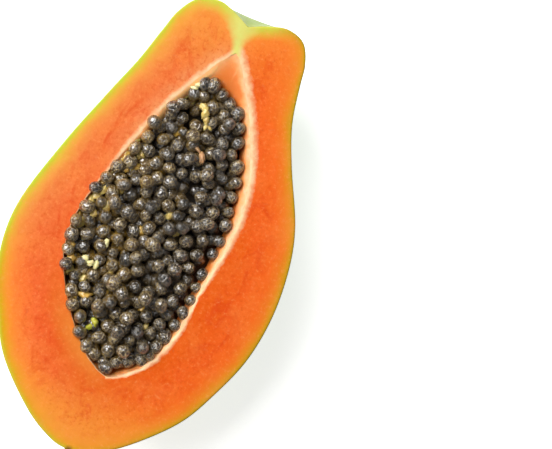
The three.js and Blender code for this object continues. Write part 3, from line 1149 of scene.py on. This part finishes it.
def lining_finish():
    """The moist wall of the cavity: pale at the rim and deeper orange further down."""
    finish = Finish("cavity_lining")
    uneven = finish.drift(LINING_WANDER, scale=260.0, detail=4.0)
    share = finish.math_node("DIVIDE", finish.plus(finish.attribute("below"), uneven), LINING_SHOWN)
    left = finish.blend(finish.attribute("halo"), finish.ramp(share, LINING_LEFT), LINING_HALO)
    colour = finish.blend(finish.attribute("rightness"), left, finish.ramp(share, LINING_RIGHT))
    veins = finish.grain(scale=150.0, detail=5.0, roughness=0.6, distortion=0.8, stretch=(1.0, 0.35, 1.0))
    finish.shade(
        Base_Color=finish.tint(colour, LINING_VEINS, veins, between=(0.52, 0.7), most=0.7),
        Roughness=0.28,
        Normal=finish.bump(veins, strength=0.4, distance=0.0006),
        Subsurface_Weight=0.25,
        Subsurface_Radius=(1.0, 0.35, 0.12),
        Subsurface_Scale=0.003,
        Coat_Weight=0.4,
        Coat_Roughness=0.12,
    )
    return finish.material


# Colours of the skin from the blossom end to the stem end, and where these lie along the frame's Y
SKIN_ALONG = (-0.1, 0.1)
SKIN_RIPE_TO_GREEN = [(0.0, "bd8420"), (0.14, "a08a26"), (0.34, "6f8a22"), (0.6, "4b7a1e"), (1.0, "588824")]
SKIN_STREAKS = "376a16"
SKIN_MOTTLES = "84a53c"
SKIN_STEM_END = "92a432"
# The skin is yellower just under the cut: how far down, and its colour on the left and on the right
SKIN_RIM = 5.8
SKIN_RIM_LEFT = "aab82e"
SKIN_RIM_RIGHT = "bc9424"
# How much shows of the yellower rim and of the stem end's tone
SKIN_TONE_SHARE = 0.8


def skin_finish():
    """Thin waxy skin: green at the neck, turning yellow and orange towards the blossom end."""
    finish = Finish("waxy_skin")
    seat = finish.node("TexCoord", {}).outputs["Object"]
    parts = finish.node("SeparateXYZ", {0: seat})
    along = finish.span(parts.outputs["Y"], SKIN_ALONG)
    clouds = finish.drift(0.22, scale=22.0, detail=4.0, roughness=0.55, stretch=(1.0, 0.5, 1.0))
    colour = finish.ramp(finish.plus(along, clouds), SKIN_RIPE_TO_GREEN)
    streak = finish.grain(scale=60.0, detail=5.0, roughness=0.6, distortion=0.4, stretch=(1.0, 0.12, 1.0))
    colour = finish.tint(colour, SKIN_STREAKS, streak, between=(0.48, 0.72), most=0.55)
    mottle = finish.grain(scale=330.0, roughness=0.6)
    colour = finish.tint(colour, SKIN_MOTTLES, mottle, between=(0.52, 0.75), most=0.35)
    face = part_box("half_fruit")[1].z
    rim = finish.span(parts.outputs["Z"], between=(face - SKIN_RIM * MM, face))
    pale_rim = finish.blend(finish.attribute("rightness"), SKIN_RIM_LEFT, SKIN_RIM_RIGHT)
    colour = finish.blend(finish.times(rim, SKIN_TONE_SHARE), colour, pale_rim)
    colour = finish.blend(finish.times(finish.attribute("stem_end"), SKIN_TONE_SHARE), colour, SKIN_STEM_END)
    finish.shade(
        Base_Color=finish.blend(finish.attribute("scar"), colour, (*SCAR_COLOUR, 1)),
        Roughness=finish.span(mottle, NOISE_RANGE, (0.42, 0.54)),
        Specular_IOR_Level=0.35,
        Normal=finish.bump(mottle, strength=0.12, distance=0.0002),
        Subsurface_Weight=0.08,
        Subsurface_Radius=(0.8, 1.0, 0.3),
        Subsurface_Scale=0.002,
        Coat_Weight=0.15,
        Coat_Roughness=0.3,
    )
    return finish.material


# Colours of the seeds from the darkest seed to the lightest: between their ridges and on them
SEED_GROUND = [(0.0, "0e0906"), (0.35, "261a0f"), (0.75, "41301a"), (1.0, "5f4726")]
SEED_CREST = [(0.0, "74664e"), (0.35, "c6ae80"), (0.8, "e2c68a"), (1.0, "e4c070")]
# The pulp's colour, which is also a painted glow of light through the jelly
SEED_PULP_AND_GLOW = "b88e2e"
# A seed's ridge is full up to the first distance from its middle and gone at the second
RIDGE_WIDTH = (0.01, 0.16)


def seed_finish():
    """Wrinkled dark seed in a clear wet coat: a net of pale brown ridges over a near-black ground."""
    finish = Finish("wet_seed")
    local = finish.attribute("seed_place", "Vector")
    tone = finish.attribute("seed_tone")
    soft = finish.grain(scale=1.7, detail=4.0, roughness=0.6, distortion=0.8, vector=local)
    swirl = finish.node("TexNoise", {"Vector": local, "Scale": 1.6}).outputs["Color"]
    bent = finish.node("VectorMath", {0: local, 1: swirl}).outputs["Vector"]
    cells = {"Vector": bent, "Scale": 1.9, "Randomness": 1.0}
    net = finish.node("TexVoronoi", cells, feature="DISTANCE_TO_EDGE")
    ridge = finish.span(net.outputs["Distance"], RIDGE_WIDTH, to=(1.0, 0.0))
    ground = finish.ramp(tone, SEED_GROUND)
    crest = finish.ramp(tone, SEED_CREST)
    shown = finish.times(ridge, finish.span(soft, between=(0.32, 0.6), to=(0.1, 1.0)))
    colour = finish.blend(shown, ground, crest)
    patchy = finish.span(soft, between=(0.35, 0.6), to=(0.3, 1.0))
    # Pulp colour and painted glow of light through the jelly, in patches
    pulp_and_glow_share = finish.times(finish.attribute("seed_pulp_and_glow"), patchy)
    relief = finish.plus(finish.times(ridge, 0.8), soft)
    dimples = finish.grain(scale=1.3, detail=1.0, roughness=0.4, distortion=0.3, vector=local)
    wet_relief = finish.plus(finish.times(ridge, 0.3), dimples)
    finish.shade(
        Base_Color=finish.blend(pulp_and_glow_share, colour, SEED_PULP_AND_GLOW),
        Roughness=0.3,
        Specular_IOR_Level=0.5,
        Normal=finish.bump(relief, strength=1.0, distance=0.0007),
        Coat_Weight=1.0,
        Coat_IOR=2.05,
        Coat_Roughness=0.08,
        Coat_Normal=finish.bump(wet_relief, strength=0.8, distance=0.0006),
    )
    return finish.material


# Colours of the pulp under the seeds, near black as painted shade in the gaps between them, from its dips to
# its lumps
DARK_PULP_AND_SHADE = [(0.35, "0d0a07"), (0.7, "2a1f10")]


def bed_finish():
    finish = Finish("dark_pulp_and_shade")
    lumps = finish.grain(scale=300.0, detail=4.0)
    relief = finish.bump(lumps, strength=0.6, distance=0.001)
    # Near-black pulp: painted shade in the gaps between the seeds
    finish.shade(Base_Color=finish.ramp(lumps, DARK_PULP_AND_SHADE), Roughness=0.3, Normal=relief)
    return finish.material


# The darker tone in the pale pulp
PULP_SHADE = "d9a35c"


def pulp_finish():
    """Soft pale pulp, strands and unripe seeds, each in its own colour."""
    finish = Finish("pale_pulp")
    own = finish.attribute("pulp_colour", "Color")
    grain = finish.grain(scale=500.0, detail=4.0)
    finish.shade(
        Base_Color=finish.tint(own, PULP_SHADE, grain, between=(0.45, 0.75), most=0.35),
        Roughness=0.32,
        Normal=finish.bump(grain, strength=0.35, distance=0.0004),
        Subsurface_Weight=0.4,
        Subsurface_Radius=(1.0, 0.7, 0.3),
        Subsurface_Scale=0.002,
        Coat_Weight=0.5,
        Coat_Roughness=0.15,
    )
    return finish.material


WHITE = (1.0, 1.0, 1.0, 1.0)
# The floor glows a little, like a light table, so that the ground stays white beside the fruit
FLOOR_GLOW = 0.68
# The floor lies this far under the resting spot
FLOOR_GAP = 0.0002
# How high the soft light stands
KEY_RISE = math.radians(46)


def floor_finish(colour):
    finish = Finish("pale_floor")
    finish.shade(
        Base_Color=(*colour, 1),
        Roughness=0.9,
        Specular_IOR_Level=0.2,
        Emission_Color=WHITE,
        Emission_Strength=FLOOR_GLOW,
    )
    return finish.material


# What a user may change


class PapayaSettings(bpy.types.PropertyGroup):
    floor_colour: FloatVectorProperty(
        name="Floor", description="Colour of the floor", subtype="COLOR", size=3, default=(0.94, 0.94, 0.94)
    )
    floor_size: FloatProperty(
        name="Floor Size", description="Side of the floor", unit="LENGTH", default=40.0
    )
    key_power: FloatProperty(
        name="Key Light", description="Power of the soft light from the upper left", unit="POWER",
        default=38.4,
    )
    key_size: FloatProperty(
        name="Key Size", description="Side of the soft light", unit="LENGTH", default=1.25
    )
    key_distance: FloatProperty(
        name="Key Distance", description="From the soft light to the fruit", unit="LENGTH", default=1.5
    )
    room_light: FloatProperty(
        name="Room Light", description="Strength of the even light all round", default=0.17
    )
    lens: FloatProperty(
        name="Lens", description="Focal length of the camera", unit="CAMERA", default=110.0
    )
    camera_tip: FloatProperty(
        name="Camera Tip", description="How far the camera leans to the left of straight down",
        subtype="ANGLE", default=math.radians(9),
    )
    smooth_levels: IntProperty(
        name="Seed Smoothing", description="Subdivision level of the seeds", default=1, min=0, max=3
    )


class PAPAYA_OT_half_fruit(bpy.types.Operator):
    """Make the half fruit: skin, cut flesh and hollow in one piece"""

    bl_idname = "papaya.half_fruit"
    bl_label = "Half Fruit"

    def execute(self, context):
        materials = [skin_finish(), flesh_finish(), lining_finish()]
        piece = finished_piece(half_fruit_mesh(), "papaya_flesh_and_skin", materials)
        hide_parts("half_fruit")
        return {"FINISHED"}


# The pieces that the seeds make, and where the random draws of their looks start
SEED_PIECES = (("seeds_top", 11), ("seeds_lower", 12), ("seeds_heaped", 13))


class PAPAYA_OT_seeds(bpy.types.Operator):
    """Make the top layer of seeds, those under it and those heaped on it, and the dark pulp below them, whose
    near black is painted shade
    """

    bl_idname = "papaya.seeds"
    bl_label = "Seeds"

    def execute(self, context):
        material = seed_finish()
        for (name, start), places in zip(SEED_PIECES, seed_places()):
            piece = finished_piece(seeds_mesh(places, start), name, [material])
            smoother = piece.modifiers.new("smooth", "SUBSURF")
            smoother.levels = smoother.render_levels = context.scene.papaya.smooth_levels
            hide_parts("seeds")
        finished_piece(seed_bed_mesh(), "seed_bed", [bed_finish()])
        return {"FINISHED"}


class PAPAYA_OT_pale_bits(bpy.types.Operator):
    """Make the pale strands, unripe seeds and scraps of pulp among the seeds"""

    bl_idname = "papaya.pale_bits"
    bl_label = "Pale Bits"

    def execute(self, context):
        finished_piece(pale_bits_mesh(), "pale_pulp_bits", [pulp_finish()])
        return {"FINISHED"}


def add_light(name, power, size, place, target):
    light = bpy.data.lights.new(name, "AREA")
    light.energy = power
    light.size = size
    lamp = bpy.data.objects.new(name, light)
    lamp.location = place
    lamp.rotation_euler = (target - place).to_track_quat("-Z", "Y").to_euler()
    bpy.context.scene.collection.objects.link(lamp)


def photo_axes():
    """Where the photograph's right and up point, over the floor."""
    right = Vector((math.cos(FRUIT_TURN), math.sin(FRUIT_TURN), 0))
    up = Vector((-math.sin(FRUIT_TURN), math.cos(FRUIT_TURN), 0))
    return right, up


def fruit_middle():
    """The point of the long axis that FRUIT_MIDDLE_PX shows, on the cut face."""
    low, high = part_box("half_fruit")
    middle = (low.x + high.x) / 2 - FRUIT_MIDDLE_X * MM
    return Vector((middle, low.y + (SCAR_STANDS + FRUIT_MIDDLE_HEIGHT) * MM, high.z))


def add_camera(settings):
    right, up = photo_axes()
    shift_right = (PHOTO_WIDTH_PX / 2 - FRUIT_MIDDLE_PX[0]) * MM_PER_PX * MM
    shift_down = (PHOTO_HEIGHT_PX / 2 - FRUIT_MIDDLE_PX[1]) * MM_PER_PX * MM
    target = fruit_middle() + right * shift_right - up * shift_down
    back = Vector((-math.sin(settings.camera_tip), 0, math.cos(settings.camera_tip)))
    side = up.cross(back).normalized()
    camera = bpy.data.cameras.new("camera")
    camera.lens = settings.lens
    distance = PHOTO_WIDTH_PX * MM_PER_PX * MM * camera.lens / camera.sensor_width
    seat = bpy.data.objects.new("camera", camera)
    turn = Matrix((side, back.cross(side), back)).transposed()
    seat.matrix_world = Matrix.Translation(target + back * distance) @ turn.to_4x4()
    bpy.context.scene.collection.objects.link(seat)
    bpy.context.scene.camera = seat


def add_floor(settings):
    mesh = bmesh.new()
    under = Matrix.Translation((0, 0, -FLOOR_GAP))
    bmesh.ops.create_grid(mesh, x_segments=1, y_segments=1, size=settings.floor_size / 2, matrix=under)
    data = bpy.data.meshes.new("floor")
    mesh.to_mesh(data)
    mesh.free()
    data.materials.append(floor_finish(settings.floor_colour))
    floor = bpy.data.objects.new("floor", data)
    bpy.context.scene.collection.objects.link(floor)


class PAPAYA_OT_stage(bpy.types.Operator):
    """Make the pale floor, the soft light, the even room light and the camera"""

    bl_idname = "papaya.stage"
    bl_label = "Stage"

    def execute(self, context):
        settings = context.scene.papaya
        add_floor(settings)
        right, up = photo_axes()
        middle = fruit_middle()
        slant = (up - right).normalized() * math.cos(KEY_RISE) + Vector((0, 0, math.sin(KEY_RISE)))
        place = middle + slant * settings.key_distance
        add_light("key_light", settings.key_power, settings.key_size, place, middle)
        world = bpy.data.worlds.new("room")
        world.use_nodes = True
        ground = world.node_tree.nodes["Background"]
        ground.inputs["Color"].default_value = WHITE
        ground.inputs["Strength"].default_value = settings.room_light
        context.scene.world = world
        context.scene.view_settings.view_transform = "Standard"
        add_camera(settings)
        return {"FINISHED"}


OPERATORS = (PAPAYA_OT_half_fruit, PAPAYA_OT_seeds, PAPAYA_OT_pale_bits, PAPAYA_OT_stage)


class PAPAYA_PT_panel(bpy.types.Panel):
    """The papaya's pieces and its stage"""

    bl_idname = "PAPAYA_PT_panel"
    bl_label = "Papaya"
    bl_space_type = "VIEW_3D"
    bl_region_type = "UI"
    bl_category = "Papaya"

    def draw(self, context):
        for name in PapayaSettings.__annotations__:
            self.layout.prop(context.scene.papaya, name)
        for operator in OPERATORS:
            self.layout.operator(operator.bl_idname)


CLASSES = (PapayaSettings, *OPERATORS, PAPAYA_PT_panel)


def register():
    for item in CLASSES:
        bpy.utils.register_class(item)
    bpy.types.Scene.papaya = PointerProperty(type=PapayaSettings)


def unregister():
    del bpy.types.Scene.papaya
    for item in reversed(CLASSES):
        bpy.utils.unregister_class(item)


def main():
    register()
    bpy.ops.papaya.half_fruit()
    bpy.ops.papaya.seeds()
    bpy.ops.papaya.pale_bits()
    bpy.ops.papaya.stage()


if __name__ == "__main__":
    main()
